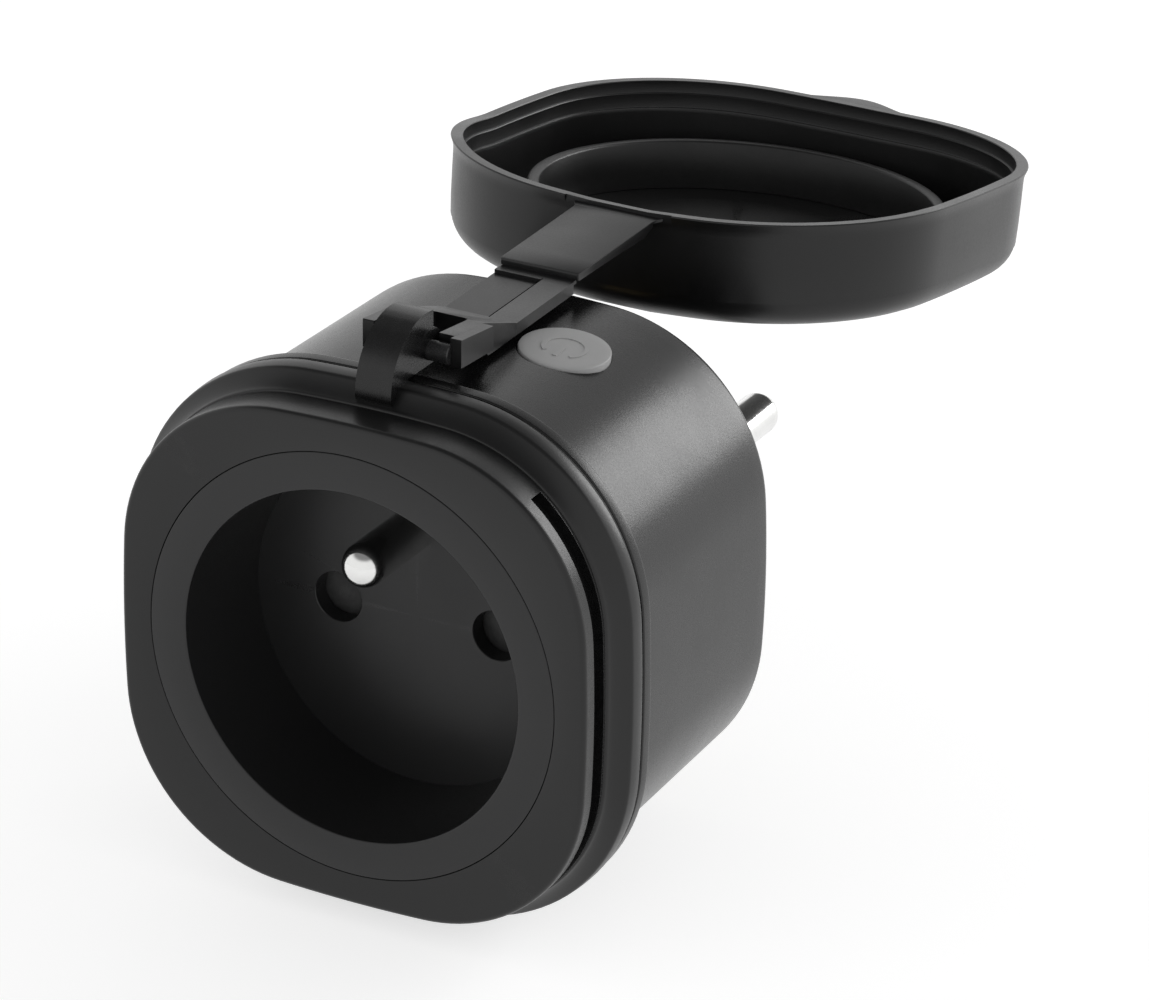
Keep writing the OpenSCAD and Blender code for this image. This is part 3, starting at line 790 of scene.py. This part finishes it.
def lid_shape():
    """From the middle of the floor up the inside with its two ledges, over the rim and down the outside."""
    floor = -LID_DEPTH + LID_FLOOR
    rings = [lid_circle(floor + 0.15, 0.02), lid_circle(floor + 0.15, 17.3)]
    rings += [lid_circle(floor + 0.1, 17.45), lid_circle(floor, 17.55)]
    rings += [lid_ring_at(floor, -3.0)]
    rings += [lid_ring_at(w, g) for w, g in arc(floor + 0.7, -2.9, 0.7, -90, 0, 4)]
    rings += [lid_ring_at(w, g) for w, g in ((-9.0, -2.2), (-3.6, -1.62), (-3.2, -1.6), (-3.12, -1.56))]
    lower_ledge = [(-3.1, -1.34), (-3.0, -1.3), (-1.5, -1.27), (-1.42, -1.22)]
    upper_ledge = [(-1.4, -1.06), (-1.3, -1.02), (-0.1, -1.0), (0.0, -0.92)]
    rim = [(0.0, 0.3), (-0.06, 0.37), (-0.16, 0.4), (-0.4, 0.3), (-0.8, 0.14), (-1.2, 0.04), (-1.7, 0.0)]
    outside = [(-4.0, -0.03), (-7.0, -0.1), (-9.0, -0.2)]
    rings += [lid_ring_at(w, g) for w, g in lower_ledge + upper_ledge + rim + outside]
    low = 3.4
    rings += [lid_ring_at(w, g) for w, g in arc(-LID_DEPTH + low, -0.25 - low, low, 0, -90, 10)]
    rings += [lid_circle(-LID_DEPTH, 20.0), lid_circle(-LID_DEPTH, 0.02)]
    return loft(rings)


def bow(obj, stiff_above=None):
    """Warps the lid as its own weight and the strap do: the strap holds the near side down at its
    middle, so both near corners stand higher, the right one more. Above stiff_above nothing moves."""
    for vertex in obj.data.vertices:
        u, v, w = vertex.co
        if stiff_above is not None and w > stiff_above:
            continue
        spread = max(0.0, abs(u) - 3.5)
        if u > 0:
            vertex.co.z += 0.062 * spread * min(1.0, max(0.0, (36 - v) / 48))
        else:
            vertex.co.z += 0.042 * spread * min(1.0, max(0.0, (-6 - v) / 14))


def tab_shape():
    """The finger tab on the far rim: a low hump that runs out into the rim."""
    outline = []
    half_w = 6.8
    reach = 2.75
    steps = 32
    for i in range(steps + 1):
        t = -1 + 2 * i / steps
        hump = (0.5 + 0.5 * math.cos(math.pi * t)) ** 0.75
        outline.append((t * half_w, LID_HALF + 0.2 + reach * hump))
    outline += [(half_w, LID_HALF - 0.6), (-half_w, LID_HALF - 0.6)]
    return slab(outline, -1.3, -0.08, "z")


lid = make("lid_cap", lid_shape())
tab = make("finger_tab", tab_shape())
join(lid, tab)
cut(lid, make("rim_notch", block(-6.5, 6.5, -LID_HALF - 2, -LID_HALF, -2, 2)))
bow(lid)
settle(lid, LID, "lid", "lid_plastic", "lid_shell", sharp=28)

# (height, radius) round the section of the sealing ring
seal_profile = [(-10.35, 22.3), (-4.95, 22.3), (-4.77, 22.42), (-4.7, 22.62)]
seal_profile += [(-4.7, 23.38), (-4.77, 23.58), (-4.95, 23.7), (-10.35, 23.7)]
seal_turns = [2 * math.pi * i / 144 for i in range(144)]
seal_rings = [[(r * math.cos(a), r * math.sin(a), w) for a in seal_turns] for w, r in seal_profile]
lid_seal = make("lid_sealing_ring", loft(seal_rings, wrap=True))
bow(lid_seal, stiff_above=-6.0)
settle(lid_seal, LID, "lid", "lid_seal", "lid_ring", sharp=40)


# ---------------------------------------------------------------- living hinges
def web(name, stations, thickness):
    """A thin strip joining two bodies; stations are (y, z, half width)."""
    rings = []
    for y, z, half in stations:
        rings.append([(-half, y, z - thickness), (-half, y, z), (half, y, z), (half, y, z - thickness)])
    obj = make(name, loft(rings))
    obj.data.transform(BODY)
    obj.data.shade_smooth()
    obj.data.set_sharp_from_angle(angle=math.radians(40))
    obj.data.materials.append(FINISHES["strap_plastic"])
    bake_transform(obj)


WEB_STEPS = 16
fold_stations = [(39.3 + 1.1 * i / WEB_STEPS, STRAP_TOP - 0.02, 4.4) for i in range(WEB_STEPS + 1)]
web("fold_web", fold_stations, 0.4)
rim_stations = []
for i in range(WEB_STEPS + 1):
    t = i / WEB_STEPS
    rim_stations.append((56.9 + 1.5 * t, 30.17 + 0.08 * t, 4.78 + 0.9 * t ** 1.6))
web("rim_web", rim_stations, 0.3)


# ---------------------------------------------------------------- shutter spring
def spring_coil(length, turns, radius, wire):
    """A wire helix along X that fills the length, centred on its own middle."""
    steps_per_turn, sides = 24, 10
    pitch = (length - 2 * wire) / turns
    rings = []
    for i in range(turns * steps_per_turn + 1):
        turn = 2 * math.pi * i / steps_per_turn
        x = wire - length / 2 + pitch * i / steps_per_turn
        ring = []
        for k in range(sides):
            a = 2 * math.pi * k / sides
            reach = radius + wire * math.cos(a)
            ring.append((x + wire * math.sin(a), reach * math.cos(turn), reach * math.sin(turn)))
        rings.append(ring)
    return loft(rings)


# the CAD spring's box is in metres, the wire in millimetres
SPRING_TURNS = 7
SPRING_WIRE = 0.18
spring_low, spring_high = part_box("shutter_spring")
spring_length = spring_high.x - spring_low.x
spring_middle = (spring_low + spring_high) / 2
spring_radius = (spring_high.z - spring_low.z) / 2 / MM - SPRING_WIRE - 0.01
spring = make("shutter_coil", spring_coil(spring_length / MM - 0.02, SPRING_TURNS, spring_radius, SPRING_WIRE))
spring_place = Matrix.Translation(spring_middle) @ Matrix.Scale(MM, 4)
settle(spring, spring_place, "base", "spring_steel", "shutter_spring", sharp=50)
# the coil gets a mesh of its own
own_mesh(spring)

# ---------------------------------------------------------------- studio
floor_half = 4.0
floor_mesh = bpy.data.meshes.new("studio_floor")
low_z = cad_box[0][2] - 0.0005
corners = [(x * floor_half, y * floor_half, low_z) for x, y in ((-1, -1), (1, -1), (1, 1), (-1, 1))]
floor_mesh.from_pydata(corners, [], [(0, 1, 2, 3)])
floor = bpy.data.objects.new("studio_floor", floor_mesh)
bpy.context.scene.collection.objects.link(floor)
floor_finish = Finish("studio_floor", (0.6, 0.6, 0.6, 1.0), 0.9, specular=0.1)
floor_finish.shader.inputs["Emission Color"].default_value = (1.0, 1.0, 1.0, 1.0)
floor_finish.shader.inputs["Emission Strength"].default_value = 0.66
floor.data.materials.append(floor_finish.material)

# a white surround that is weaker overhead, so the top faces stay dark as in the studio
world = bpy.data.worlds.new("studio")
bpy.context.scene.world = world
world.use_nodes = True
sky = world.node_tree
direction = sky.nodes.new("ShaderNodeTexCoord").outputs["Generated"]
split = sky.nodes.new("ShaderNodeSeparateXYZ")
sky.links.new(direction, split.inputs["Vector"])
fade = sky.nodes.new("ShaderNodeMapRange")
fade.interpolation_type = "SMOOTHSTEP"
fade.inputs["From Min"].default_value = 0.52
fade.inputs["From Max"].default_value = 0.78
fade.inputs["To Min"].default_value = 1.0
fade.inputs["To Max"].default_value = 0.25
sky.links.new(split.outputs["Z"], fade.inputs["Value"])
sky.links.new(fade.outputs["Result"], sky.nodes["Background"].inputs["Strength"])
sky.nodes["Background"].inputs["Color"].default_value = (1.0, 1.0, 1.0, 1.0)


def softbox(name, place, target, width, height, power):
    """A rectangular area light at a place, facing its target."""
    data = bpy.data.lights.new(name, "AREA")
    data.shape = "RECTANGLE"
    data.size = width
    data.size_y = height
    data.energy = power
    obj = bpy.data.objects.new(name, data)
    bpy.context.scene.collection.objects.link(obj)
    obj.location = place
    aim = Vector(target) - Vector(place)
    obj.rotation_euler = aim.to_track_quat("-Z", "Y").to_euler()


softbox("rear_right_softbox", (0.536, 1.008, 0.371), (0, 0, 0), 0.42, 0.64, 5)

# ---------------------------------------------------------------- camera
# place in metres, azimuth round from the front, elevation up from level, lens in millimetres
CAMERA_AT = (0.287970, -0.549661, 0.283347)
AZIMUTH = math.radians(27.999)
ELEVATION = math.radians(24.994)
ROLL = math.radians(0.708)
LENS = 194.25

flat = math.cos(ELEVATION)
back = Vector((math.sin(AZIMUTH) * flat, -math.cos(AZIMUTH) * flat, math.sin(ELEVATION)))
level = Vector((0, 0, 1)).cross(back).normalized()
upward = back.cross(level)
right = math.cos(ROLL) * level + math.sin(ROLL) * upward
up = -math.sin(ROLL) * level + math.cos(ROLL) * upward
camera_data = bpy.data.cameras.new("camera")
camera_data.lens = LENS
camera_data.sensor_width = 36.0
camera_data.sensor_fit = "HORIZONTAL"
camera_data.clip_start = 0.01
camera = bpy.data.objects.new("camera", camera_data)
bpy.context.scene.collection.objects.link(camera)
pose = Matrix((right, up, back)).transposed().to_4x4()
pose.translation = CAMERA_AT
camera.matrix_world = pose
bpy.context.scene.camera = camera

bpy.context.scene.view_settings.view_transform = "Standard"
